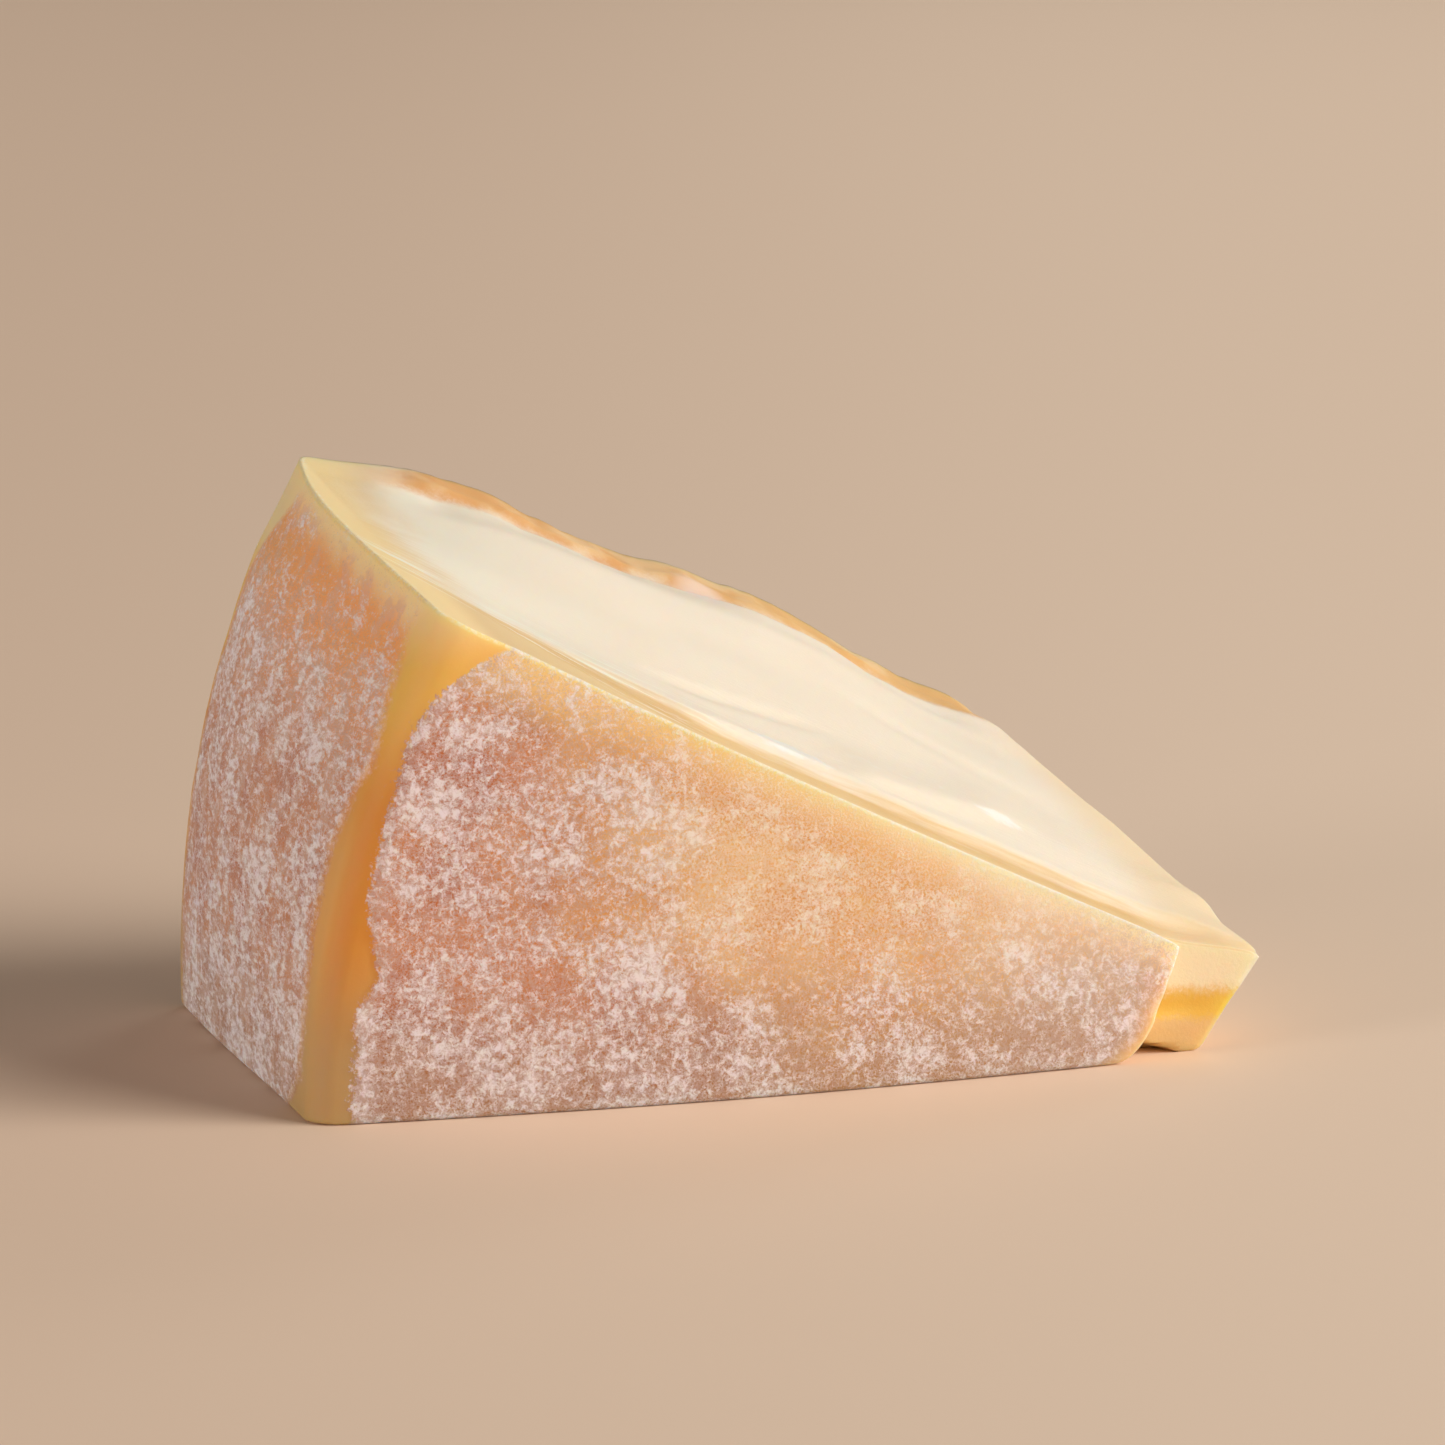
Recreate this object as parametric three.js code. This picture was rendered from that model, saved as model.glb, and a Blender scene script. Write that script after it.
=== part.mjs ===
// A wedge of washed-rind cheese, cut from a round wheel and lying on one of its cut faces.
// The wheel's rim is the tall end at -X, the two flat rind faces look along -Y and +Y, the
// upper cut falls towards the tip at +X, and the tip itself has been trimmed off. It is one
// grown piece, so it is one closed body. Millimetres, +Z up.
import * as THREE from 'three';
import { mergeVertices } from 'three/addons/utils/BufferGeometryUtils.js';

const { clamp, lerp, smoothstep } = THREE.MathUtils;

// The wheel that the wedge came from. Its centre line runs along Y, close to the height of
// the surface: the lower cut passed just over it at the near face and just under it at the
// far one. The wedge's X starts at the near end of the rim's foot, which runs back a little
// askew, and the rim bulges between its two corners, most of all near the upper cut.
const WHEEL_RADIUS = 121;
const WHEEL_THICKNESS = 60.5;
const WHEEL_CENTRE_HEIGHT = { near: -6, far: 4.5 };
const RIM_SKEW = 2.3;
const RIM_BULGE = { foot: 0.2, top: 4.7, topHeight: 60 };
const RIM_CORNER_RADIUS = { near: 4, far: 2 };
const SOFT_EDGE = 0.8;

// The upper cut: its height over the rim's foot, how fast it falls along X, and how far it
// bows, on the near rind face and on the far one. The knife went in a little twisted, so the
// far side stands higher.
const NEAR_CUT = { height: 61, fall: 0.4963, bow: -0.8, from: 16, to: 97 };
const FAR_CUT = { height: 68.1, fall: 0.4175, bow: 2.8, from: 16, to: 94 };

// The soft paste swells up behind the rind. Its border runs along the near face at the
// rind's depth, and turns away from it where the wedge nears the rim.
const RIND_DEPTH = 5;
const PASTE_SWELL = { height: 1.4, whole: 98, gone: 108 };
const PASTE_STEP_WIDTH = 2.5;
const PASTE_TURN = { x: 42, spread: 0.28, power: 1.6 };

// The trimmed tip, as places along X at the surface and at the height of the upper cut. The
// near rind has broken back from it and shows a short step of bare paste.
const TIP_NEAR = { foot: 100.7, top: 109.2, height: 11.4 };
const TIP_FAR = { foot: 82.6, top: 94.4, height: 28.9 };
const BROKEN_RIND = { foot: 92.8, top: 97.2, height: 12.8, depth: 3.8, cornerRadius: 4 };
const BREAK_WIDTH = 0.4;
const TIP_LIFT = { height: 2.9, from: 5, to: 26 };

// The rind faces swell out a little between their ends, most of all at the foot.
const FACE_SWELL = { foot: 2.2, top: 0.6 };

// Stations of the surface mesh: along the wedge and up it as shares, across it in
// millimetres from the near face. They stand close together where the surface bends.
const ALONG = [0, 0.003, 0.008, 0.03, 0.07, 0.11, 0.15, 0.19, 0.23, 0.27, 0.31, 0.35, 0.39,
  0.44, 0.49, 0.54, 0.59, 0.64, 0.69, 0.74, 0.79, 0.84, 0.88, 0.92, 0.96, 0.99, 1];
const ACROSS = [0, 0.25, SOFT_EDGE, 2, BROKEN_RIND.depth - BREAK_WIDTH, BROKEN_RIND.depth,
  5, 6.2, 7.5, 10, 14, 19, 25, 31, 37, 43, 49, 54, 57, 59, WHEEL_THICKNESS - SOFT_EDGE,
  WHEEL_THICKNESS - 0.25, WHEEL_THICKNESS];
const UP = [0, 0.05, 0.12, 0.22, 0.34, 0.46, 0.58, 0.7, 0.8, 0.9, 0.97, 1];

// How far a round edge has drawn the surface in, at a given distance from its outer side.
function roundedInset(distance, radius) {
  const inside = clamp(1 - distance / radius, 0, 1);
  return radius * (1 - Math.sqrt(1 - inside * inside));
}

function cutLine(cut, x) {
  const along = clamp((x - cut.from) / (cut.to - cut.from), 0, 1);
  return cut.height - cut.fall * x + cut.bow * Math.sin(Math.PI * along ** 0.8);
}

function pasteSwell(x, y) {
  const turn = PASTE_TURN.spread * Math.max(0, PASTE_TURN.x - x) ** PASTE_TURN.power;
  const behindBorder = smoothstep(y - RIND_DEPTH - turn, 0, PASTE_STEP_WIDTH);
  const awayFromRim = smoothstep(x, 20, 52);
  const awayFromFarRind = 1 - smoothstep(y, WHEEL_THICKNESS - 9, WHEEL_THICKNESS - 2);
  const awayFromTip = 1 - smoothstep(x, PASTE_SWELL.whole, PASTE_SWELL.gone);
  const away = awayFromRim * awayFromFarRind * awayFromTip;
  return PASTE_SWELL.height * behindBorder * away;
}

function cutHeight(x, y) {
  const share = clamp((y - RIND_DEPTH / 2) / (WHEEL_THICKNESS - RIND_DEPTH / 2), 0, 1);
  const nearSide = 1 - smoothstep(y, TIP_LIFT.from, TIP_LIFT.to);
  const lift = TIP_LIFT.height * nearSide * smoothstep(x, BROKEN_RIND.top - 2, TIP_NEAR.top);
  return lerp(cutLine(NEAR_CUT, x), cutLine(FAR_CUT, x), share) + pasteSwell(x, y) + lift;
}

// The rim is a stretch of the wheel's circle, with its two long edges rounded.
function rimX(y, z) {
  const across = y / WHEEL_THICKNESS;
  const centre = lerp(WHEEL_CENTRE_HEIGHT.near, WHEEL_CENTRE_HEIGHT.far, across);
  const halfChord = (height) => Math.sqrt(WHEEL_RADIUS ** 2 - (height - centre) ** 2);
  const lean = RIM_SKEW * across + halfChord(0) - halfChord(z);
  const bulge = lerp(RIM_BULGE.foot, RIM_BULGE.top, z / RIM_BULGE.topHeight);
  const nearEdge = roundedInset(y, RIM_CORNER_RADIUS.near);
  const farEdge = roundedInset(WHEEL_THICKNESS - y, RIM_CORNER_RADIUS.far);
  return lean - bulge * Math.sin(Math.PI * across ** 1.25) + nearEdge + farEdge;
}

function brokenRindX(z) {
  const share = z / BROKEN_RIND.height;
  const slope = lerp(BROKEN_RIND.foot, BROKEN_RIND.top, share);
  return slope - roundedInset(z, BROKEN_RIND.cornerRadius);
}

function trimmedTipX(y, z) {
  const across = clamp((y - BROKEN_RIND.depth) / (WHEEL_THICKNESS - BROKEN_RIND.depth), 0, 1);
  const foot = lerp(TIP_NEAR.foot, TIP_FAR.foot, across);
  const top = lerp(TIP_NEAR.top, TIP_FAR.top, across);
  const height = lerp(TIP_NEAR.height, TIP_FAR.height, across);
  const softFarEdge = roundedInset(WHEEL_THICKNESS - y, SOFT_EDGE);
  return lerp(foot, top, z / height) - roundedInset(z, SOFT_EDGE) - softFarEdge;
}

function tipX(y, z) {
  return y < BROKEN_RIND.depth ? brokenRindX(z) : trimmedTipX(y, z);
}

// The foot of each outer face is rounded, and the rest of the underside is flat.
function undersideHeight(along, y) {
  const fromFace = Math.min(y, WHEEL_THICKNESS - y);
  const fromRim = along * WHEEL_RADIUS;
  return Math.max(roundedInset(fromFace, SOFT_EDGE), roundedInset(fromRim, SOFT_EDGE));
}

// The place on the wedge of a share along it, a distance across it and a share up it.
function wedgePoint(along, y, up) {
  const placeX = (z) => lerp(rimX(y, z), tipX(y, z), along);
  let top = NEAR_CUT.height / 2;
  for (let pass = 0; pass < 12; pass += 1) top = cutHeight(placeX(top), y);
  const z = lerp(undersideHeight(along, y), top, up);
  const side = y < WHEEL_THICKNESS / 2 ? -1 : 1;
  const onFace = 1 - smoothstep(Math.min(y, WHEEL_THICKNESS - y), 0, 6);
  const swell = lerp(FACE_SWELL.foot, FACE_SWELL.top, up) * Math.sin(Math.PI * along);
  return new THREE.Vector3(placeX(z), y + side * swell * onFace, z);
}

function wedgeGeometry() {
  const steps = [ALONG, ACROSS, UP].map((stations) => stations.length - 1);
  const box = new THREE.BoxGeometry(1, 1, 1, ...steps);
  box.deleteAttribute('normal');
  box.deleteAttribute('uv');
  const wedge = mergeVertices(box);
  const position = wedge.getAttribute('position');
  const station = (list, value) => list[Math.round((value + 0.5) * (list.length - 1))];
  for (let i = 0; i < position.count; i += 1) {
    const along = station(ALONG, position.getX(i));
    const across = station(ACROSS, position.getY(i));
    const up = station(UP, position.getZ(i));
    position.setXYZ(i, ...wedgePoint(along, across, up));
  }
  return wedge;
}

// Stands the geometry on the origin, with the middle of its footprint over it.
function centreOnBase(geometry) {
  geometry.computeBoundingBox();
  const centre = geometry.boundingBox.getCenter(new THREE.Vector3());
  geometry.translate(-centre.x, -centre.y, -geometry.boundingBox.min.z);
  geometry.computeVertexNormals();
  return geometry;
}

const rindAndPaste = new THREE.MeshStandardMaterial({
  color: 0xe6b380,
  roughness: 0.6,
  metalness: 0,
});

const cheeseWedge = new THREE.Mesh(centreOnBase(wedgeGeometry()), rindAndPaste);
cheeseWedge.name = 'cheese_wedge';

const group = new THREE.Group();
group.add(cheeseWedge);

export default group;
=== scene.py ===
# %% [markdown]
# # A wedge of washed-rind cheese
#
# The wedge was cut from a flat round wheel and lies on one of its two cut faces. Its rim
# and both flat sides wear a washed orange rind under a white bloom, and the upper cut shows
# soft cream paste. A cheese is one body, so it is made as one closed mesh here. The packed
# model gives the frame: the box that the wedge fills and the body that it rides on.

import bpy
import numpy as np
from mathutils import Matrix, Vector


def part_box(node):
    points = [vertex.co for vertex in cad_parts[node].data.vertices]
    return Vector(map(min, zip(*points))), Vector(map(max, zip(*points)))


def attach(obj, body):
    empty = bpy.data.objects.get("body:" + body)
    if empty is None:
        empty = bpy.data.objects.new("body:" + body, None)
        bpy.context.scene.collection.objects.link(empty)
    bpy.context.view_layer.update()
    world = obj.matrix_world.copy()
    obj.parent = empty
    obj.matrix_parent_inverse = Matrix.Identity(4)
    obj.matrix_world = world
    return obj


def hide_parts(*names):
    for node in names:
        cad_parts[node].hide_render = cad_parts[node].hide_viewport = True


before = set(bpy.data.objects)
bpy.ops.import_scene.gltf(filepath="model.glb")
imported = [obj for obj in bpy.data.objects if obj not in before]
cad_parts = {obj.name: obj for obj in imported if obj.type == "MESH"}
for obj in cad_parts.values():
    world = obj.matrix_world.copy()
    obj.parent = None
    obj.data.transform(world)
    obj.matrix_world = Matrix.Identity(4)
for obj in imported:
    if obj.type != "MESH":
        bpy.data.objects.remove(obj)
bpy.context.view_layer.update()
NODE = "cheese_wedge"
low, high = (np.array(corner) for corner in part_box(NODE))
centre = (low + high) / 2
print("the wedge's box in metres:", (high - low).round(4))

# %% [markdown]
# ## The wedge's own millimetre
#
# Every size below is in millimetres of this wedge. The box's length says how long such a
# millimetre is in the frame, so a wedge packed at another scale is still made to fit. The
# sizes are those of the solid: X runs from the foot of the rim to the tip, Y from the near
# rind face to the far one, and Z up from the surface.

# %% Driving sizes, in the wedge's millimetres
WEDGE_LENGTH = 108.29
mm = (high[0] - low[0]) / WEDGE_LENGTH
MIDDLE_X = 54.27
THICKNESS = 60.5
WHEEL_RADIUS = 121
WHEEL_CENTRE = dict(near=-6, far=4.5)
RIM_SKEW = 2.3
RIM_BULGE = dict(foot=0.2, top=4.7, height=60)
RIM_CORNER = dict(near=4, far=2)
SOFT_EDGE = 0.8
NEAR_CUT = dict(height=61, fall=0.4963, bow=-0.8, start=16, end=97)
FAR_CUT = dict(height=68.1, fall=0.4175, bow=2.8, start=16, end=94)
TIP_NEAR = dict(foot=100.7, top=109.2, height=11.4)
TIP_FAR = dict(foot=82.6, top=94.4, height=28.9)
BROKEN_RIND = dict(foot=92.8, top=97.2, height=12.8, depth=3.8, corner=4)
BREAK_START = 3.4
RIND_DEPTH = 5
print("one millimetre of the wedge is", round(mm, 6), "metres")

# %% [markdown]
# ## Noise that any reader can follow
#
# A cheese has no straight line in it, so its mesh needs soft irregular numbers that depend
# only on place. Blender has such textures for shaders. For geometry a small table of fixed
# random numbers does the same: each point blends the eight table entries round it. The
# seeds are fixed, so the wedge comes out the same each time.

# %% Smooth helpers
def smooth(value, start, end):
    """0 before start, 1 after end, and a soft slope between them."""
    share = np.clip((value - start) / (end - start), 0, 1)
    return share * share * (3 - 2 * share)


def blend(first, second, share):
    return first + (second - first) * share


def lattice_noise(x, y, z, cell, seed):
    """Smooth noise from -1 to 1. cell is its size in millimetres, one number per axis."""
    table = np.random.RandomState(seed).uniform(-1, 1, (32, 32, 32))
    spot = np.stack(np.broadcast_arrays(x, y, z), -1) / np.array(cell, float)
    corner = np.floor(spot).astype(int)
    part = smooth(spot - corner, 0, 1)
    total = 0
    for step in np.ndindex(2, 2, 2):
        weight = np.abs(1 - np.array(step) - part).prod(-1)
        entry = (corner + step) % 32
        total = total + weight * table[entry[..., 0], entry[..., 1], entry[..., 2]]
    return total


def layered_noise(x, y, z, cell, seed, layers=3):
    """Noise with finer and weaker layers on top of the first one."""
    size = np.array(cell, float)
    total, weight = 0, 0
    for layer in range(layers):
        strength = 0.5**layer
        noise = lattice_noise(x, y, z, size * strength, seed + layer)
        total, weight = total + strength * noise, weight + strength
    return total / weight


print("noise at the origin:", lattice_noise(0.0, 0.0, 0.0, (1, 1, 1), 1).round(3))

# %% [markdown]
# ## The shape of the cut
#
# The knife fell from the rim to the tip and twisted a little, so the far side stands higher
# than the near one. Behind the near rind the paste has swollen up in a soft step. The step
# runs along the near face and turns away from it towards the rim. All of this is one
# height over the ground plan, so a formula is simpler than a sculpt, and it can be read.

# %% The height of the upper cut
BORDER_TURN = dict(start=44, rate=0.12, power=1.4)
PASTE_STEP = dict(rise=1.5, width=1.8, wider=1.6)


def cut_line(cut, x):
    along = np.clip((x - cut["start"]) / (cut["end"] - cut["start"]), 0, 1)
    return cut["height"] - cut["fall"] * x + cut["bow"] * np.sin(np.pi * along**0.8)


def paste_border(x):
    """How far behind the near face the swollen paste starts."""
    turn = BORDER_TURN["rate"] * np.maximum(0, BORDER_TURN["start"] - x) ** BORDER_TURN["power"]
    wander = 0.5 * layered_noise(x, 0.0, 0.0, (8, 1, 1), 11)
    return RIND_DEPTH + turn + wander


def paste_swell(x, y):
    """A step like a quarter wave: steep where it starts and flat on top."""
    wider = smooth(x, 44, 50) * (1 - smooth(x, 58, 66))
    width = PASTE_STEP["width"] + PASTE_STEP["wider"] * wider
    share = np.clip((y - paste_border(x)) / width, 0, 1)
    step = np.sin(share * np.pi / 2)
    from_rim = smooth(x, 20, 48)
    from_far_rind = 1 - smooth(y, THICKNESS - 9, THICKNESS - 2)
    from_tip = 1 - smooth(x, 98, 108) * (1 - smooth(y, 10, 16))
    return PASTE_STEP["rise"] * step * from_rim * from_far_rind * from_tip


def crease(x, y, start, end, deep, wide):
    """A soft valley along the straight line between two places on the cut."""
    (x0, y0), (x1, y1) = start, end
    share = (x - x0) / (x1 - x0)
    line = blend(y0, y1, share) + 0.8 * layered_noise(x, 0.0, 0.0, (7, 1, 1), 15)
    ends = smooth(share, -0.1, 0.25) * (1 - smooth(share, 0.7, 1.1))
    return -deep * ends * np.exp(-(((y - line) / wide) ** 2))


def bulge(x, y, start, end, tall):
    """A swelling that starts in a crease and sinks away slowly behind it."""
    (x0, y0), (x1, y1) = start, end
    share = (x - x0) / (x1 - x0)
    behind = y - blend(y0, y1, share) - 0.8 * layered_noise(x, 0.0, 0.0, (7, 1, 1), 17)
    ends = smooth(share, -0.1, 0.25) * (1 - smooth(share, 0.75, 1.1))
    return tall * ends * smooth(behind, -0.3, 2.4) * (1 - smooth(behind, 2.4, 15))


print("the swollen paste starts", paste_border(60.0).round(1), "mm behind the rind")

# %% [markdown]
# ## Small forms on the cut
#
# Soft paste sags into creases behind the swollen step, and the knife left low waves in it.
# The shelf in front of the step lies a little lower and ends in a thin lip. Each form is a
# few tenths of a millimetre of height, which the grid is close enough to hold, so they
# catch the light as real forms would.

# %% Folds, dents and lumps of the cut
MIDDLE_CREASE = dict(start=(42, 15.2), end=(64, 20), deep=0.45, wide=1.3)
TIP_CREASE = dict(start=(72, 34), end=(90, 27), deep=0.25, wide=2.2)
NEAR_BULGE = dict(start=(62, 6), end=(86, 13.5), tall=0.8)


def cut_detail(x, y):
    behind = y - paste_border(x)
    shelf = smooth(y, 0.5, 2.5) * (1 - smooth(behind, -1.0, 0)) * smooth(x, 18, 30)
    lip = 0.22 * np.exp(-((y / 0.5) ** 2)) * smooth(x, 18, 24) * (1 - smooth(x, 93, 97))
    paste = smooth(behind, 0, 6) * (1 - smooth(y, THICKNESS - 10, THICKNESS - 4))
    soft = 0.6 * lattice_noise(x, y, 0.0, (23, 15, 1), 21)
    smear = 0.12 * lattice_noise(x, y, 0.0, (9, 6, 1), 23) * smooth(x, 40, 60)
    folds = crease(x, y, **MIDDLE_CREASE)
    folds = folds + bulge(x, y, **NEAR_BULGE)
    folds = folds + crease(x, y, **TIP_CREASE)
    detail = lip - 0.3 * shelf + (soft + smear) * paste * smooth(x, 12, 30) + folds * paste
    return detail + far_edge_detail(x, y)


def far_edge_detail(x, y):
    """The far rind stands above the paste as an uneven crust."""
    past_rim = smooth(x, 22, 30) * (1 - smooth(x, 88, 96))
    crust = smooth(y, THICKNESS - 6, THICKNESS - 3.5)
    groove = smooth(y, THICKNESS - 16, THICKNESS - 8) * (1 - crust)
    uneven = layered_noise(x, y, 0.0, (5, 9, 1), 41, 3)
    wave = 0.8 * np.cos(2 * np.pi * (x - 31.6) / 38) * smooth(y, 30, THICKNESS)
    wave = wave * smooth(x, 12, 22) * (1 - smooth(x, 84, 94))
    return wave + past_rim * (crust * (0.2 + 0.7 * uneven) - groove * (0.8 + 0.3 * uneven))


def cut_height(x, y):
    share = np.clip((y - RIND_DEPTH / 2) / (THICKNESS - RIND_DEPTH / 2), 0, 1)
    near_side = 1 - smooth(y, 5, 26)
    lift = 2.9 * near_side * smooth(x, BROKEN_RIND["top"] - 2, TIP_NEAR["top"])
    plain = blend(cut_line(NEAR_CUT, x), cut_line(FAR_CUT, x), share)
    return plain + paste_swell(x, y) + lift + cut_detail(x, y)


print("the near edge at mid length is", cut_height(54.0, 0.0).round(1), "mm high")

# %% [markdown]
# ## The rim and the trimmed tip
#
# The rim is a stretch of the wheel's circle, bulging between two rounded corners. At the
# other end the tip was cut away, and the near rind broke back from that cut, which leaves a
# short step of bare paste. Both ends are given as a place along X for each Y and Z.

# %% The two ends
def rounded_inset(distance, radius):
    """How far a rounded edge has drawn the surface in, this far from its outer side."""
    inside = np.clip(1 - distance / radius, 0, 1)
    return radius * (1 - np.sqrt(1 - inside * inside))


def rim_lean(across, z):
    middle = blend(WHEEL_CENTRE["near"], WHEEL_CENTRE["far"], across)
    foot = np.sqrt(WHEEL_RADIUS**2 - middle**2)
    return foot - np.sqrt(WHEEL_RADIUS**2 - (z - middle) ** 2)


def rim_x(y, z):
    across = np.clip(y / THICKNESS, 0, 1)
    bulge = blend(RIM_BULGE["foot"], RIM_BULGE["top"], z / RIM_BULGE["height"])
    corners = rounded_inset(y, RIM_CORNER["near"])
    corners = corners + rounded_inset(THICKNESS - y, RIM_CORNER["far"])
    fuller = 0.55 * smooth(y, 15, 50) * (1 - smooth(z, 50, 58))
    skew = RIM_SKEW * across - fuller
    return skew + rim_lean(across, z) - bulge * np.sin(np.pi * across**1.25) + corners


def broken_rind_x(z):
    slope = blend(BROKEN_RIND["foot"], BROKEN_RIND["top"], z / BROKEN_RIND["height"])
    ragged = 0.35 * layered_noise(0.0, 0.0, z, (1, 1, 3), 51)
    return slope - rounded_inset(z, BROKEN_RIND["corner"]) + ragged


def trimmed_tip_x(y, z):
    across = np.clip((y - BROKEN_RIND["depth"]) / (THICKNESS - BROKEN_RIND["depth"]), 0, 1)
    foot = blend(TIP_NEAR["foot"], TIP_FAR["foot"], across)
    top = blend(TIP_NEAR["top"], TIP_FAR["top"], across)
    height = blend(TIP_NEAR["height"], TIP_FAR["height"], across)
    dents = 0.4 * layered_noise(0.0, y, z, (1, 9, 7), 61)
    return blend(foot, top, z / height) - rounded_inset(THICKNESS - y, SOFT_EDGE) + dents


def break_share(y):
    """0 on the rind's broken end, 1 on the trimmed tip, and the step between them."""
    return np.clip((y - BREAK_START) / (BROKEN_RIND["depth"] - BREAK_START), 0, 1)


def tip_x(y, z):
    return blend(broken_rind_x(z), trimmed_tip_x(y, z), break_share(y))


print("the near edge of the rim leans in by", rim_lean(0.0, 53.0).round(1), "mm")

# %% [markdown]
# ## One closed mesh from a grid
#
# The wedge is a bent box: a share along it, a distance across it and a share up it name
# each point of its skin. A grid like this is even and clean, and its rows can stand closer
# where the detail is, such as the near rind and the foot. The alternative, a remeshed
# sculpt, would spend as many faces on the plain underside, which is one flat face here.

# %% Stations of the grid
along_rows = np.concatenate([np.linspace(0, 0.02, 6), np.linspace(0.02, 1, 214)[1:]])
borders = [0, 1, BREAK_START, BROKEN_RIND["depth"], 11, 52, THICKNESS]
rows_between = [6, 6, 14, 22, 46, 22]
stretches = zip(borders[:-1], borders[1:], rows_between)
across_rows = np.concatenate([[0]] + [np.linspace(a, b, rows)[1:] for a, b, rows in stretches])
foot_rows = np.array([0, 0.08, 0.2, 0.4, 0.8, 1.3])
up_rows = np.linspace(0, 1, 98)
rows_up = np.arange(len(foot_rows) + len(up_rows) - 1)
print("rows along, across, up:", len(along_rows), len(across_rows), len(rows_up))

# %% [markdown]
# ## Bending the box into the wedge
#
# Every station starts as three shares and gets its place from the formulas above. The
# height of the cut depends on X, and the ends depend on height, so the two are worked out
# in turn a few times until they agree. The foot is drawn in all round, because the wedge
# touches the surface with a slightly rounded edge.

# %% Place every station
def stations():
    """The share along, the distance across and the row number up of every grid point."""
    return np.meshgrid(along_rows, across_rows, rows_up, indexing="ij")


def skin_mask(shape):
    """True on the outside of the grid, without the inside of the underside."""
    mask = np.zeros(shape, bool)
    mask[[0, -1]] = True
    mask[:, [0, -1]] = True
    mask[:, :, -1] = True
    return mask


def station_height(row, top):
    last_foot = foot_rows[-1]
    share = up_rows[np.clip(row - len(foot_rows) + 1, 0, None).astype(int)]
    in_foot = foot_rows[np.clip(row, 0, len(foot_rows) - 1).astype(int)]
    return np.where(row < len(foot_rows), in_foot, blend(last_foot, top, share))


def tip_hollow(along, across, z):
    """The face of the step is creased, and its foot is hollow beside the rind."""
    share = break_share(across)
    on_face = (along > 0.999) * (share > 0) * (share < 1)
    notch = 3.0 * smooth(2.1 * (1 - share / 0.85) - z, 0, 0.35)
    groove = 0.4 * np.exp(-(((z - 5.0) / 1.3) ** 2)) * (1 - smooth(share, 0.5, 0.9))
    return on_face * (notch + groove)


def place(along, across, row):
    def along_at(z):
        return blend(rim_x(across, z), tip_x(across, z), along)

    top = np.full_like(along, 30.0)
    for _ in range(8):
        top = cut_height(along_at(top), across)
    top = top - 0.3 * np.exp(-100 * (1 - along) / 0.8)
    z = station_height(row, top)
    x = along_at(z)
    foot = rounded_inset(z, SOFT_EDGE)
    rim_side = 1 - smooth(along, 0, 0.03)
    tip_side = smooth(along, 0.985, 1)
    x = x + foot * (rim_side - tip_side)
    side = np.where(across < THICKNESS / 2, -1, 1)
    near_side = 1 - smooth(np.minimum(across, THICKNESS - across), 0, 6)
    swell = blend(2.2, 0.6, z / np.maximum(top, 1)) * np.sin(np.pi * along)
    y = across + side * near_side * (swell - foot) + tip_hollow(along, across, z)
    return np.stack([x, y, z], -1), top


along, across, row = stations()
mask = skin_mask(along.shape)
number = np.full(along.shape, -1)
number[mask] = np.arange(mask.sum())
points, tops = place(along[mask], across[mask], row[mask])
along, across = along[mask], across[mask]
print("points in the skin:", len(points))

# %% [markdown]
# ## Faces, side by side
#
# Each side of the grid gives its own faces, turned so that they look outwards. The side
# that a face came from is kept, because the rind and the cut paste are different finishes.

# %% Faces of the skin
RIND, PASTE = 0, 1


def side_faces(ids, turned):
    quads = np.stack([ids[:-1, :-1], ids[1:, :-1], ids[1:, 1:], ids[:-1, 1:]], -1)
    quads = quads.reshape(-1, 4)
    return quads[:, ::-1] if turned else quads


sides = [
    (number[:, :, -1], False, PASTE),
    (number[:, 0, :], False, RIND),
    (number[:, -1, :], True, RIND),
    (number[0, :, :], True, RIND),
    (number[-1, :, :], False, PASTE),
]
faces, finishes = [], []
for ids, turned, finish in sides:
    quads = side_faces(ids, turned)
    faces.extend(quads.tolist())
    finishes.extend([finish] * len(quads))
foot_ring = np.concatenate(
    [number[:-1, 0, 0], number[-1, :-1, 0], number[:0:-1, -1, 0], number[0, :0:-1, 0]]
)
faces.append(foot_ring[::-1].tolist())
finishes.append(PASTE)
print("faces:", len(faces), "triangles:", 2 * len(faces) + len(foot_ring))

# %% [markdown]
# ## Which way the skin looks
#
# Relief has to be raised along the skin's own direction. Each point takes the mean of its
# faces' directions, weighted by their size, which the cross product gives by itself.

# %% Normals of the grid
def vertex_normals(spots, quads):
    corners = spots[quads]
    crossed = np.cross(corners[:, 2] - corners[:, 0], corners[:, 3] - corners[:, 1])
    total = np.zeros_like(spots)
    for corner in range(4):
        np.add.at(total, quads[:, corner], crossed)
    return total / np.maximum(np.linalg.norm(total, axis=1, keepdims=True), 1e-9)


normals = vertex_normals(points, np.array(faces[:-1]))
print("mean upward normal:", normals[:, 2].mean().round(3))

# %% [markdown]
# ## Where the rind is bare
#
# Down the near upright edge the rind is rubbed bare: a smooth amber band with a ragged
# border, lower than the bloomed rind beside it. Its border is kept as a distance in
# millimetres, which stays smooth from point to point. The shader can then break it up
# finer than the mesh could, and the mesh takes its step from the same number.

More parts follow.
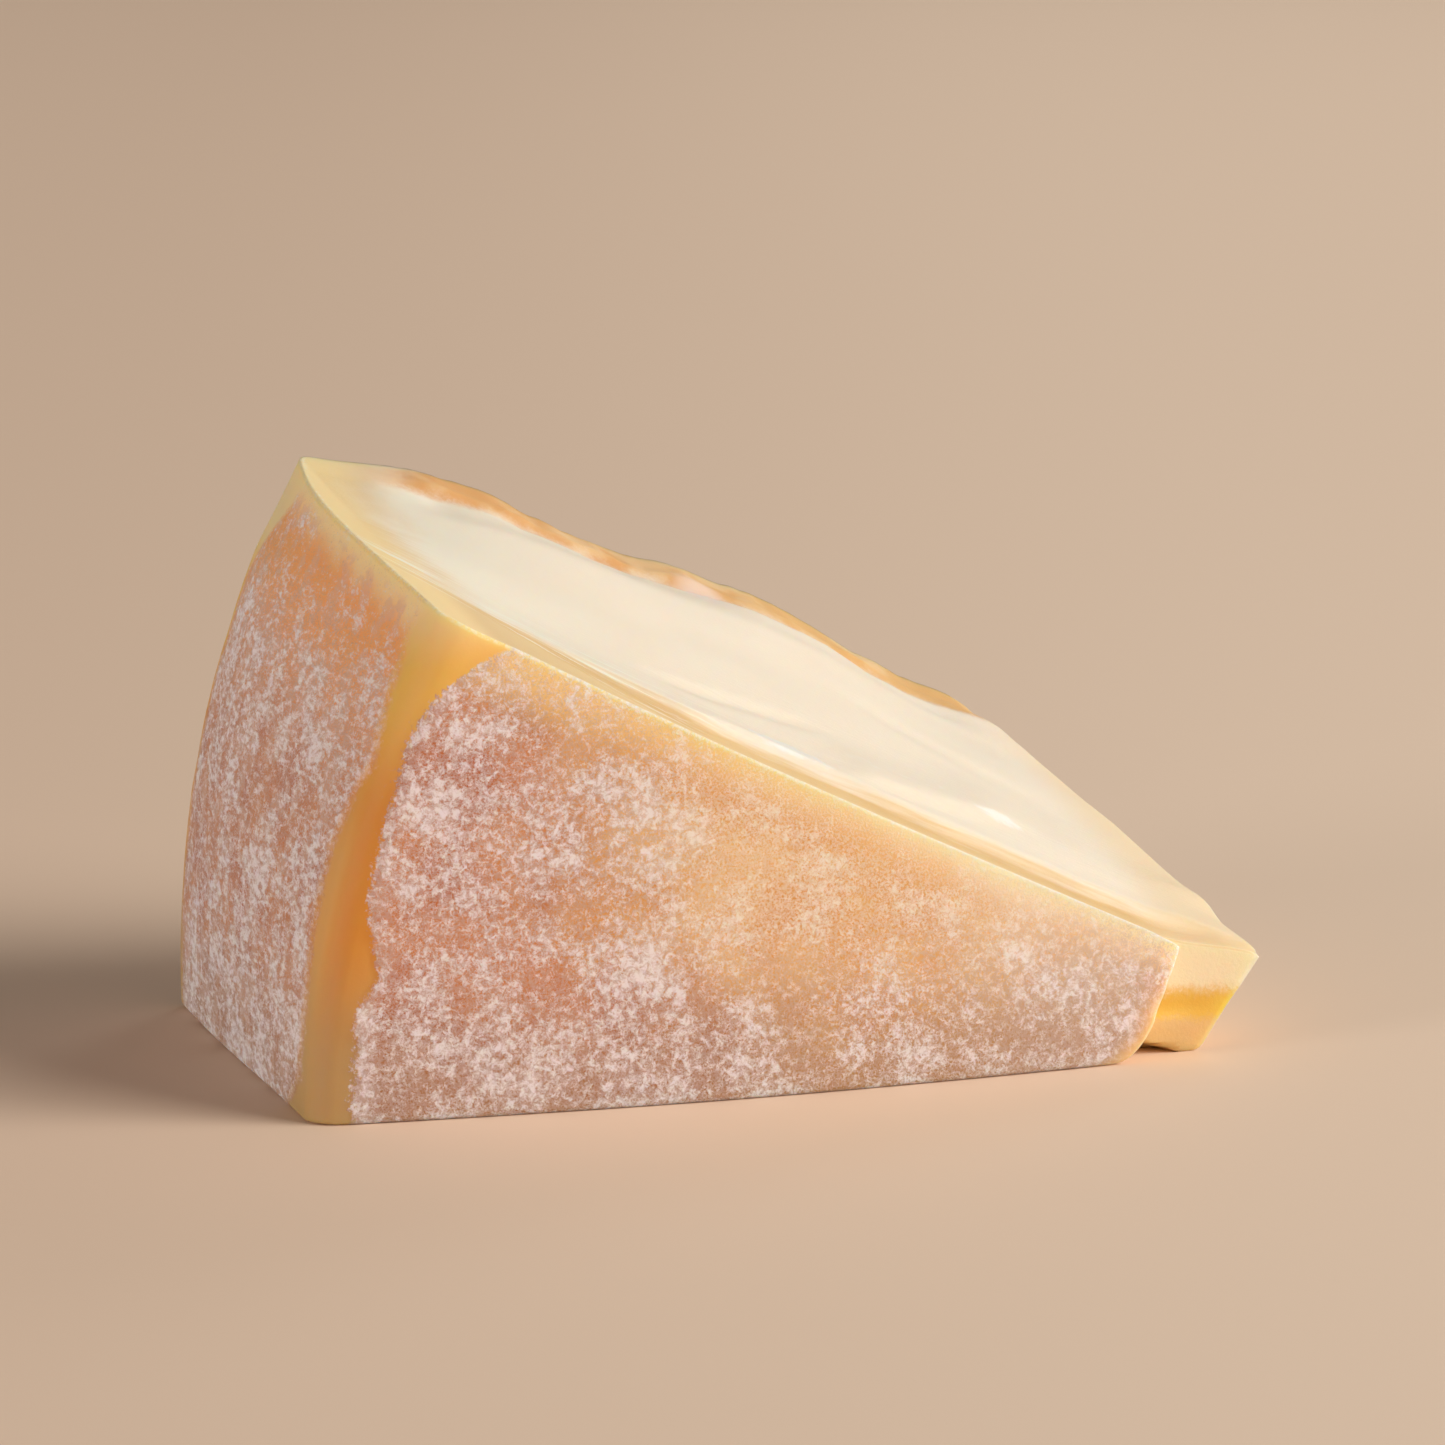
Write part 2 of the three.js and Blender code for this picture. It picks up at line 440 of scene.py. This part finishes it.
# %% Borders as distances
BARE_NEAR = dict(height=[0, 12, 16, 23, 41, 46, 50], width=[4.4, 4.2, 5.6, 3.2, 2.0, 3.6, 9])
BARE_RIM = dict(height=[0, 4, 16, 29, 38, 50], width=[11, 5.4, 6.5, 7, 3.4, 6])
x, y, z = points.T
from_edge = x - rim_lean(0.0, z)
near_width = np.interp(z, BARE_NEAR["height"], BARE_NEAR["width"])
rim_width = np.interp(z, BARE_RIM["height"], BARE_RIM["width"])
ragged = 0.7 * layered_noise(x, y, z, (3.2, 3.2, 3.2), 71)
ragged = ragged + 0.5 * layered_noise(x, y, z, (1.3, 1.3, 1.3), 75)
bare_near = np.minimum(near_width - from_edge, rim_width - y) + ragged
far_side = x - rim_lean(1.0, z) - RIM_SKEW
far_rim = 3.0 - (THICKNESS - y) + 12 * smooth(z, 48, 62)
bare = np.maximum(bare_near, np.minimum(far_rim, 3.5 - far_side) + ragged)
bare = np.clip(bare, -6, 6)
below_cut = tops - z
on_rim = smooth(-normals[:, 0], 0.45, 0.8)
print("points in the bare band:", int((bare > 0).sum()))

# %% [markdown]
# ## Raised by tenths of a millimetre
#
# The bloomed rind is slightly lumpy and stands a quarter of a millimetre above the bare
# band. Forms of this size show at the outline, so they are made in the mesh, and only the
# mould's threads are left to the shader.

# %% Relief of the rind and the paste
BARE_STEP = 0.25
clumps = layered_noise(x, y, z, (1.7, 1.7, 1.7), 81)
patches = layered_noise(x, y, z, (7, 7, 7), 91)
rindy = np.where((below_cut > 0.3) & (along < 0.999), 1.0, 0.0) * smooth(z, 0, 0.8)
step = BARE_STEP * smooth(bare_near, -0.3, 0.4) * smooth(below_cut, 2, 8)
relief = rindy * (0.05 * clumps * (1 - smooth(bare, -0.5, 0.5)) + 0.14 * patches - step)
points = points + normals * relief[:, None]
points[:, 2] = np.maximum(points[:, 2], 0)
print("relief from", relief.min().round(2), "to", relief.max().round(2), "mm")

# %% [markdown]
# ## The mesh and its notes
#
# The points are moved from the wedge's millimetres to metres in the frame. Each point also
# keeps a few numbers, such as its distance below the cut. The finishes read them, so that
# colours follow the form and would still do so if the form changed.

# %% Make the mesh
wedge_mesh = bpy.data.meshes.new("wedge")
offset = np.array([MIDDLE_X, THICKNESS / 2, 0])
spots = (points - offset) * mm + np.array([centre[0], centre[1], low[2]])
wedge_mesh.from_pydata(spots.tolist(), [], faces)
wedge_mesh.polygons.foreach_set("material_index", finishes)
wedge_mesh.polygons.foreach_set("use_smooth", [True] * len(faces))


def note(name, values):
    """Keeps one number per point on the mesh, for the shader to read."""
    wedge_mesh.attributes.new(name, "FLOAT", "POINT").data.foreach_set("value", values)


swollen = y - paste_border(x)
note("bare", bare)
note("below_cut", below_cut)
note("from_rim", x - rim_x(y, z))
note("from_near", across)
note("from_far", THICKNESS - y)
note("swollen", np.clip(swollen, -20, 20))
note("on_rim", on_rim)
note("from_break", broken_rind_x(z) - x)
note("on_tip", (along > 0.999) * 1.0)
note("along", x)
note("height", z)
wedge_mesh.update()
wedge_mesh.validate()
wedge = bpy.data.objects.new("wedge_skin", wedge_mesh)
bpy.context.collection.objects.link(wedge)
print("size in mm:", ((spots.max(0) - spots.min(0)) * 1000).round(1))

# %% [markdown]
# ## A small language for shaders
#
# A finish is a sum of simple parts: noise, borders and colours. Wrapping a socket in a
# class with arithmetic lets each part be written as a Python expression, and every
# expression adds its Math nodes. Other nodes come from one method, add.

# %% Sockets that can be reckoned with
def paint(red, green, blue):
    """A colour as a screen shows it, from 0 to 255, as the shader's linear colour."""
    shown = np.array([red, green, blue]) / 255
    linear = np.where(shown <= 0.04045, shown / 12.92, ((shown + 0.055) / 1.055) ** 2.4)
    return (*linear.tolist(), 1.0)


class Field:
    """A socket's value, changing over the surface."""

    def __init__(self, finish, socket):
        self.finish, self.socket = finish, socket

    def math(self, operation, first, second):
        values = {0: first, 1: second}
        return self.finish.add("Math", {"operation": operation}, values)

    def __add__(self, other):
        return self.math("ADD", self, other)

    def __sub__(self, other):
        return self.math("SUBTRACT", self, other)

    def __rsub__(self, other):
        return self.math("SUBTRACT", other, self)

    def __mul__(self, other):
        return self.math("MULTIPLY", self, other)

    def __truediv__(self, other):
        return self.math("DIVIDE", self, other)

    def smooth(self, start, end):
        """0 before start, 1 after end, and a soft slope between them."""
        values = {"Value": self, "From Min": start, "From Max": end}
        return self.finish.add("MapRange", {"interpolation_type": "SMOOTHSTEP"}, values)

    __radd__ = __add__
    __rmul__ = __mul__


class Finish:
    """A material, and the methods that add nodes to it."""

    def __init__(self, name):
        self.material = bpy.data.materials.new(name)
        self.material.use_nodes = True
        self.tree = self.material.node_tree
        self.tree.nodes.clear()

    def add(self, kind, settings=(), values=(), output=0):
        made = self.tree.nodes.new("ShaderNode" + kind)
        for name, value in dict(settings).items():
            setattr(made, name, value)
        for name, value in dict(values).items():
            if isinstance(value, Field):
                self.tree.links.new(value.socket, made.inputs[name])
            else:
                made.inputs[name].default_value = value
        return Field(self, made.outputs[output]) if made.outputs else None

    def noted(self, name):
        return self.add("Attribute", {"attribute_name": name}, output="Fac")

    def place(self, stretch=(1, 1, 1)):
        """The point's own place in the wedge's millimetres, stretched along each axis."""
        spot = self.add("TexCoord", output="Object")
        scale = tuple(1 / (mm * share) for share in stretch)
        return self.add("VectorMath", {"operation": "MULTIPLY"}, {0: spot, 1: scale})

    def noise(self, spot, cell, detail=3.0, roughness=0.55, distortion=0.0):
        values = {"Vector": spot, "Scale": 1 / cell, "Detail": detail}
        values.update({"Roughness": roughness, "Distortion": distortion})
        return self.add("TexNoise", values=values)

    def mixed(self, first, second, share):
        settings = {"data_type": "RGBA", "clamp_factor": True}
        return self.add("Mix", settings, {0: share, 6: first, 7: second}, output=2)

    def bump(self, height, deep):
        """A normal from a height from 0 to 1 that stands for so many millimetres."""
        return self.add("Bump", values={"Height": height, "Distance": deep * mm})

    def close(self, sockets):
        skin = self.add("BsdfPrincipled", values=sockets)
        self.add("OutputMaterial", values={"Surface": skin})
        return self.material


print("white paint in linear light:", paint(255, 255, 255))

# %% [markdown]
# ## The bloom
#
# White mould grows on a washed rind in clumps and threads, over a fine dust. Three sizes of
# noise make it, and its density follows the place: thick by the rim, at the tip and along
# the bare band, and thin below the upper cut. On the rim the clumps are short dashes, so
# their noise is stretched along it. Painting it would give the same, but only for one size.

# %% How much the bloom hides
MOULD = dict(tuft=0.9, dust=0.26, cluster=6.0, dash=0.7)


def bloom_density(rind, on_rim):
    along, height, below = (rind.noted(name) for name in ("along", "height", "below_cut"))
    by_rim = 1 - along.smooth(30, 62)
    low_down = (1 - height.smooth(3, 18)) * by_rim
    fringe = rind.noted("bare").smooth(-3.0, -0.6) * (1 - on_rim)
    density = 0.16 + 0.32 * by_rim + 0.26 * along.smooth(66, 88) + 0.1 * low_down
    wider = 1.5 * (1 - along.smooth(18, 42)) * (1 - on_rim)
    near_cut = 1 - ((below - wider) / (6.0 + 9.0 * on_rim)).smooth(0.04, 1.0)
    return density + 0.25 * fringe - (0.34 + 0.3 * on_rim) * near_cut


def bloom_cover(rind, spot, on_rim):
    """The share of the rind that the mould hides, and how thick it lies, from 0 to 1."""
    density = bloom_density(rind, on_rim)
    tufts = rind.noise(spot, MOULD["tuft"], 6.0, 0.74, 0.5)
    dust = rind.noise(spot, MOULD["dust"], 2.0, 0.8)
    clusters = rind.noise(spot, MOULD["cluster"], 3.0, 0.55)
    dashes = rind.noise(rind.place((1.0, 2.2, 1.1)), MOULD["dash"], 5.0, 0.7, 0.3)
    grain = rind.add("Mix", values={0: on_rim, 2: tufts, 3: dashes})
    fluff = density + (grain - 0.5) * 2.8 + (clusters - 0.5) * 2.7 + (dust - 0.5) * 1.2
    finely = rind.noted("along").smooth(30, 56) * 0.09
    dusting = (density * 0.3 + dust + finely).smooth(0.48, 0.72) * 0.66
    cover = 1 - (1 - fluff.smooth(0.0, 1.0)) * (1 - dusting)
    return cover, grain * 0.7 + clusters * 0.2 + dust * 0.1


print("sizes of the mould in mm:", MOULD)

# %% [markdown]
# ## The colours of the rind
#
# Under the bloom the rind is orange by the rim and golden towards the tip, and painted shade
# darkens it towards the foot. Just below the upper cut it is thin and fresh. On the rim that
# pale strip and the orange below it are painted brighter, a painted glow of light through the
# thin edge, and short strokes of bloom hang down over the strip. The worn end at the tip shows
# the paste through it.

# %% The ground below the bloom
FRESH_STRIP = dict(depth=4.0, wider=2.5)


def rind_ground(rind, spot, on_rim, clouds, worn_end):
    along, height, below = (rind.noted(name) for name in ("along", "height", "below_cut"))
    wide = rind.noise(spot, 16.0, 1.0)
    orange = rind.mixed(paint(192, 104, 54), paint(214, 134, 74), clouds.smooth(0.35, 0.65))
    golden = rind.mixed(paint(226, 156, 76), paint(238, 184, 110), clouds.smooth(0.3, 0.7))
    golden = rind.mixed(golden, paint(243, 208, 160), along.smooth(56, 90) * 0.65)
    towards_tip = (along + height * 0.5 + (wide - 0.5) * 30).smooth(34, 54)
    warm = rind.mixed(orange, golden, towards_tip * (1 - on_rim))
    # Painted shade: the rind is painted darker towards the foot.
    foot_shade = (1 - (height + (wide - 0.5) * 10).smooth(0, 16)) * 0.8
    warm = rind.mixed(warm, paint(164, 117, 70), foot_shade)
    warm = rind.mixed(warm, paint(236, 198, 140), worn_end)
    # Painted glow: high on the rim the rind is painted a brighter orange, standing in for light
    # coming through the thin upper edge.
    warm = rind.mixed(warm, paint(255, 172, 104), on_rim * (1 - below.smooth(8, 26)))
    by_rim = (1 - along.smooth(18, 42)) * (1 - on_rim)
    strip = FRESH_STRIP["depth"] + FRESH_STRIP["wider"] * by_rim
    fresh_and_glow = 1 - ((below + (clouds - 0.5) * 4) / strip).smooth(0.2, 1.2)
    edge = rind.mixed(paint(243, 206, 140), paint(247, 224, 184), along.smooth(40, 80))
    # Painted glow: on the rim the pale strip is painted brighter, for light coming through the
    # thin edge.
    warm = rind.mixed(warm, rind.mixed(edge, paint(255, 220, 164), on_rim), fresh_and_glow)
    hanging = rind.noise(rind.place((1.0, 2.2, 5.0)), 1.2, 3.0, 0.55).smooth(0.5, 0.6)
    strokes = hanging * on_rim * below.smooth(0.6, 2.5) * 0.5
    return rind.mixed(warm, paint(226, 184, 158), strokes), towards_tip


print("the fresh strip below the cut, in mm:", FRESH_STRIP)

# %% [markdown]
# ## The bare band
#
# Where the rind was rubbed off, the band under it is clear and amber, yellow at the top and
# paler at the foot. Low on its rim side, where it rounds onto the rim, it is painted paler
# still as a painted sheen. On its rim side the colour runs out softly, and on the near side it
# stops at the ragged edge of the bloom.

# %% The amber of the bare band
AMBER = dict(middle=paint(222, 149, 60), top=paint(240, 190, 96), foot=paint(195, 156, 102))


def bare_band(rind, on_rim, fray):
    height = rind.noted("height")
    share = (rind.noted("bare") + (fray - 0.5) * 3.0) / (1 + 3.0 * on_rim)
    amber = rind.mixed(AMBER["middle"], AMBER["top"], height.smooth(32, 46))
    # Painted sheen: low on the rim side, where the band rounds, its amber is painted paler.
    painted_sheen = rind.noted("from_near").smooth(0.8, 3.6) * (1 - height.smooth(26, 40))
    amber = rind.mixed(amber, paint(228, 178, 112), painted_sheen * 0.6)
    amber = rind.mixed(AMBER["foot"], amber, height.smooth(4, 22))
    amber = rind.mixed(amber, paint(255, 221, 162), height.smooth(47, 55))
    return amber, share.smooth(-0.35, 0.35)


print("amber in linear light:", [round(value, 3) for value in AMBER["middle"]])

# %% [markdown]
# ## The finish of the rind
#
# The bloom lies over the ground and the band, and its height is a very shallow bump. Bloom
# is matt, and the bare rind a little glossy. Light goes a few millimetres into cheese, so
# the shader scatters it below the surface, which also lets the thin upper edge glow.

# %% Rind finish
RIND_SCATTER = 4.0


def rind_finish():
    rind = Finish("washed_rind")
    spot = rind.place()
    on_rim = rind.noted("on_rim")
    clouds = rind.noise(spot, 7.0, 3.0, 0.5)
    fray = rind.noise(spot, 0.5, 3.0, 0.7)
    height = rind.noted("height")
    worn_end = 1 - (rind.noted("from_break") + (clouds - 0.5) * 6).smooth(0.5, 4.0)
    worn_end = worn_end * (1 - height.smooth(5, 10)) * 0.8

    ground, towards_tip = rind_ground(rind, spot, on_rim, clouds, worn_end)
    amber, bare = bare_band(rind, on_rim, fray)
    ground = rind.mixed(ground, amber, bare)
    cover, thickness = bloom_cover(rind, spot, on_rim)
    bloom = cover * (1 - bare) * (1 - worn_end)
    lilac = rind.mixed(paint(200, 174, 166), paint(241, 232, 233), thickness.smooth(0.43, 0.6))
    # Painted light: the bloom is painted creamier and lighter high up on the flat sides towards
    # the tip.
    painted_light_high = towards_tip * rind.noted("along").smooth(30, 50) * height.smooth(8, 22)
    cream = rind.mixed(lilac, paint(250, 234, 210), painted_light_high * 0.7)
    colour = rind.mixed(ground, cream, bloom * 0.9)
    # A pale beaded line along the near top edge: bloom dust, and a painted highlight where the
    # edge catches the light.
    crest_dust_and_highlight = (1 - rind.noted("below_cut").smooth(0.1, 0.5)) * fray.smooth(0.4, 0.6)
    colour = rind.mixed(colour, paint(246, 234, 220), crest_dust_and_highlight * (1 - on_rim) * 0.5)
    return rind.close(
        {
            "Base Color": colour,
            "Roughness": 0.58 + 0.26 * bloom,
            "Normal": rind.bump(bloom * 0.7 + fray * 0.3, 0.07),
            "Subsurface Weight": 0.85,
            "Subsurface Radius": (1.0, 0.6, 0.32),
            "Subsurface Scale": RIND_SCATTER * mm,
            "Specular IOR Level": 0.3,
        }
    )


print("scatter depth in the rind in metres:", round(RIND_SCATTER * mm, 4))

# %% [markdown]
# ## The paste
#
# The cut face is yellow under the rind and pale cream in the middle. Flaky lines follow the
# border of the swollen paste, so their noise is stretched along that border. The far rind
# shows as an orange crust with a pale spot in it.

# %% Colours of the cut
# The cream by the rim is painted lighter, as painted light.
CREAM = dict(deep=paint(244, 225, 200), pale=paint(248, 233, 212), by_rim=paint(255, 241, 219))


def near_place(along, across, middle, reach):
    """1 at one place on the cut and 0 beyond its reach, with a soft slope between."""
    aside, behind = (along - middle[0]) / reach[0], (across - middle[1]) / reach[1]
    return 1 - (aside * aside + behind * behind).smooth(0, 1)


def cut_colour(paste, clouds, grain, lines, flaky):
    swollen, along = paste.noted("swollen"), paste.noted("along")
    from_rim, from_near = paste.noted("from_rim"), paste.noted("from_near")
    cream = paste.mixed(CREAM["deep"], CREAM["pale"], clouds)
    # Painted light: near the rim the cream and the yellow are painted lighter.
    cream = paste.mixed(CREAM["by_rim"], cream, along.smooth(8, 45))
    yellow = paste.mixed(paint(226, 190, 130), paint(233, 200, 146), clouds)
    yellow = paste.mixed(paint(249, 215, 154), yellow, from_rim.smooth(4, 10))
    inside = (swollen + (lines - 0.5) * 3).smooth(-0.4, 1.6)
    from_skin = (from_rim + (clouds - 0.5) * 8 + (lines - 0.5) * 8).smooth(3, 14)
    colour = paste.mixed(yellow, cream, inside * from_skin)
    # Painted shade: a darker amber line is painted in the crease at the foot of the swollen
    # step.
    edge = swollen.smooth(-1.6, -0.3) * (1 - swollen.smooth(-0.1, 0.3))
    colour = paste.mixed(colour, paint(222, 182, 126), edge * 0.25)
    colour = paste.mixed(colour, paint(253, 244, 224), flaky * lines.smooth(0.54, 0.64))
    # The pale line on the lip of the near edge is bloom dust and a painted highlight where the
    # edge catches the light.
    edge_dust_and_highlight = (1 - from_near.smooth(0.1, 0.45)) * from_rim.smooth(3, 7)
    colour = paste.mixed(colour, paint(240, 224, 200), edge_dust_and_highlight * 0.7)
    specks = (1 - from_rim.smooth(0.3, 1.2)) * grain.smooth(0.52, 0.62)
    return paste.mixed(colour, paint(248, 236, 216), specks * 0.8)


print("cream in linear light:", [round(value, 3) for value in CREAM["pale"]])

# %% [markdown]
# ## The far crust and the tip
#
# Along the far edge the knife met the rind, and its orange runs into the paste. Near the tip
# the cut is yellower. The trimmed tip's face is paste of a deeper colour, painted lighter on
# its upper part as painted light, with a darker yellow band painted along its crease as
# painted shade.

# %% Colours of the crust and the tip
CRUST_DEPTH = dict(full=4.2, gone=7.5)
TIP_BAND = dict(foot=3.2, full=4.6, fading=5.8, gone=7.6)


def far_crust(paste, colour, clouds, grain):
    along, from_far = paste.noted("along"), paste.noted("from_far")
    tan = paste.mixed(paint(222, 162, 100), paint(224, 172, 108), along.smooth(52, 74))
    tan = paste.mixed(tan, paint(236, 200, 150), clouds.smooth(0.46, 0.6) * 0.6)
    ragged = from_far + (clouds - 0.5) * 5 + (grain - 0.5) * 2
    seam = 1 - ragged.smooth(CRUST_DEPTH["full"], CRUST_DEPTH["gone"])
    colour = paste.mixed(colour, tan, seam * paste.noted("from_rim").smooth(6, 16))
    pale_spot = near_place(along, from_far, (61, 7), (4, 6))
    return paste.mixed(colour, paint(248, 226, 212), pale_spot * 0.7), seam


def tip_layers(paste, colour, clouds, grain):
    on_tip = paste.noted("on_tip")
    level = paste.noted("height") + (clouds - 0.5) * 3 + (grain - 0.5) * 2
    # Painted light: the upper part of the tip's face is painted lighter.
    painted_light_upper = paste.mixed(paint(232, 192, 130), paint(250, 228, 190), level.smooth(5.8, 8.0))
    # Painted shade: a darker yellow band is painted along the crease of the tip's face.
    above_band = level.smooth(TIP_BAND["fading"], TIP_BAND["gone"])
    band = level.smooth(TIP_BAND["foot"], TIP_BAND["full"]) * (1 - above_band)
    near_tip = paste.noted("along").smooth(92, 101)
    colour = paste.mixed(colour, paint(241, 214, 170), near_tip * 0.8)
    colour = paste.mixed(colour, painted_light_upper, on_tip)
    return paste.mixed(colour, paint(242, 197, 78), on_tip * band * 0.9)


print("the crust in mm:", CRUST_DEPTH, "the tip's band in mm:", TIP_BAND)

# %% [markdown]
# ## The finish of the paste
#
# The middle is satin. The knife left it wet in two places, and a little wet between them,
# so these shine through a coat, and their colour is painted paler as a painted highlight.
# Light goes nearly as far into the paste as into the rind.

# %% Paste finish
PASTE_SCATTER = 3.5
WET_AND_HIGHLIGHT_PLACES = [
    dict(middle=(55.5, 8.4), reach=(6.5, 2.4), share=1.0),
    dict(middle=(81.5, 13.6), reach=(4.2, 1.7), share=1.0),
    dict(middle=(71, 15), reach=(11, 3.5), share=0.35),
]


def wet_gloss_and_highlight(paste):
    along, from_near = paste.noted("along"), paste.noted("from_near")
    smears = paste.noise(paste.place((1.6, 0.7, 1.0)), 2.2, 4.0, 0.6, 0.5)
    wet_and_highlight = (smears - 0.5) * 2.0
    for spot in WET_AND_HIGHLIGHT_PLACES:
        wet_and_highlight = wet_and_highlight + near_place(along, from_near, spot["middle"], spot["reach"]) * spot["share"]
    return wet_and_highlight.smooth(0.35, 1.2)


def paste_finish():
    paste = Finish("cream_paste")
    spot, swollen, along = paste.place(), paste.noted("swollen"), paste.noted("along")
    clouds = paste.noise(spot, 9.0, 3.0, 0.5)
    grain = paste.noise(spot, 0.5, 3.0, 0.7)
    lined = paste.add("CombineXYZ", values={"X": swollen / 0.5, "Y": along / 11.0})
    lines = paste.add("TexNoise", values={"Vector": lined, "Scale": 1.0, "Detail": 4.0})
    flaky = (1 - along.smooth(34, 56)) * swollen.smooth(-3, 1) * (1 - swollen.smooth(4, 9))
    colour = cut_colour(paste, clouds, grain, lines, flaky)
    colour, seam = far_crust(paste, colour, clouds, grain)
    colour = tip_layers(paste, colour, clouds, grain)
    wet_and_highlight = wet_gloss_and_highlight(paste)
    relief = lines * (0.15 + 0.85 * flaky) + grain * 0.15
    return paste.close(
        {
            # Painted highlight: the wet places are painted paler, and the coat makes them
            # shine.
            "Base Color": paste.mixed(colour, paint(255, 250, 248), wet_and_highlight * 0.6),
            "Roughness": 0.42 + 0.1 * clouds + 0.25 * seam,
            "Coat Weight": 0.45 * wet_and_highlight,
            "Coat Roughness": 0.3,
            "Normal": paste.bump(relief, 0.3),
            "Subsurface Weight": 0.7,
            "Subsurface Radius": (1.0, 0.7, 0.4),
            "Subsurface Scale": PASTE_SCATTER * mm,
            "Specular IOR Level": 0.4,
        }
    )


print("scatter depth in the paste in metres:", round(PASTE_SCATTER * mm, 4))

# %% [markdown]
# ## Two finishes on one body
#
# Each face already says whether it is rind or paste, so the mesh takes both finishes in
# that order.

# %% Dress the wedge and hand it to the frame
wedge_mesh.materials.append(rind_finish())
wedge_mesh.materials.append(paste_finish())
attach(wedge, "root")
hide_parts(NODE)
print("finishes:", [material.name for material in wedge_mesh.materials])

# %% [markdown]
# ## The surface
#
# The wedge lies on a plain beige surface that fills the view. It is one large face, and its
# colour is painted a little lighter towards the right, a painted pool of light where the
# light comes from.

# %% The surface
def plain_surface():
    finish = Finish("beige_surface")
    reach = 40 * (high[0] - low[0])
    mesh = bpy.data.meshes.new("surface")
    corners = [(-reach, -reach, 0), (reach, -reach, 0), (reach, reach, 0), (-reach, reach, 0)]
    mesh.from_pydata(corners, [], [(0, 1, 2, 3)])
    surface = bpy.data.objects.new("surface", mesh)
    surface.location.z = low[2]
    bpy.context.collection.objects.link(surface)
    rightwards = {0: finish.place(), 1: (1.0, -0.33, 0.0)}
    right = finish.add("VectorMath", {"operation": "DOT_PRODUCT"}, rightwards, output="Value")
    # Painted light: the surface is painted lighter towards the right.
    painted_light_tint = finish.mixed(paint(233, 204, 179), paint(247, 220, 195), right.smooth(-137, 105))
    values = {"Base Color": painted_light_tint, "Roughness": 0.75, "Specular IOR Level": 0.2}
    mesh.materials.append(finish.close(values))
    return surface


surface = plain_surface()
print("the surface reaches", round(surface.dimensions.x / 2, 2), "metres each way")

# %% [markdown]
# ## The lamps
#
# A far lamp to the front right lights everything evenly and gives the soft shadow. A small
# one beside it adds gloss, a low one on the left keeps the rim readable, and one behind
# makes the wet places on the cut shine. A lamp far off is a sun in Blender, whose angle
# sets how soft the shadow is.

# %% The lamps
def soft_lamp(name, direction, distance, size, power, colour):
    data = bpy.data.lights.new(name, "AREA")
    data.shape, data.size, data.energy, data.color = "DISK", size, power, colour
    lamp = bpy.data.objects.new(name, data)
    towards = Vector(direction).normalized()
    lamp.location = Vector(centre) + towards * distance
    lamp.rotation_mode = "QUATERNION"
    lamp.rotation_quaternion = towards.to_track_quat("Z", "Y")
    bpy.context.collection.objects.link(lamp)
    return lamp


def far_lamp(direction, strength, soft_angle, colour):
    """A lamp so far away that it lights the whole surface evenly."""
    data = bpy.data.lights.new("window", "SUN")
    data.energy, data.angle, data.color = strength, np.radians(soft_angle), colour
    lamp = bpy.data.objects.new("window", data)
    lamp.rotation_mode = "QUATERNION"
    lamp.rotation_quaternion = Vector(direction).to_track_quat("Z", "Y")
    bpy.context.collection.objects.link(lamp)


far_lamp((0.74, -0.54, 0.46), 2.45, 40, (1.0, 0.98, 0.94))
soft_lamp("right window", (0.86, -0.38, 0.5), 1.1, 0.6, 3.0, (1.0, 0.98, 0.94))
soft_lamp("left fill", (-0.94, -0.26, 0.14), 1.2, 0.4, 5.4, (1.0, 0.96, 0.93))
soft_lamp("back window", (0.6, 0.65, 0.5), 1.4, 0.5, 1.5, (1.0, 0.99, 0.97))
world = bpy.data.worlds.new("room")
world.use_nodes = True
backdrop = world.node_tree.nodes["Background"]
backdrop.inputs["Color"].default_value = (1.0, 0.94, 0.87, 1.0)
backdrop.inputs["Strength"].default_value = 0.14
bpy.context.scene.world = world
bpy.context.scene.view_settings.view_transform = "Standard"

# %% [markdown]
# ## The camera
#
# A long lens from nearly a metre away keeps the edges almost parallel, as in a close study
# of a small thing. The camera stands a little left of the near face and looks down by
# eleven degrees, so that the rim, the near face and the cut all show.

# %% The camera
def camera_at(azimuth, elevation, distance, lens, aim):
    a, e = np.radians(azimuth), np.radians(elevation)
    back = Vector((np.sin(a) * np.cos(e), -np.cos(a) * np.cos(e), np.sin(e)))
    data = bpy.data.cameras.new("camera")
    data.lens, data.sensor_width = lens, 36
    camera = bpy.data.objects.new("camera", data)
    camera.location = aim + back * distance
    camera.rotation_mode = "QUATERNION"
    camera.rotation_quaternion = (-back).to_track_quat("-Z", "Y")
    bpy.context.collection.objects.link(camera)
    bpy.context.scene.camera = camera
    return camera


aim = Vector(centre) + Vector((1.2, 0.3, 3.5)) * mm
camera = camera_at(azimuth=-18.42, elevation=11.0, distance=875 * mm, lens=200, aim=aim)
print("camera at", [round(value, 3) for value in camera.location])
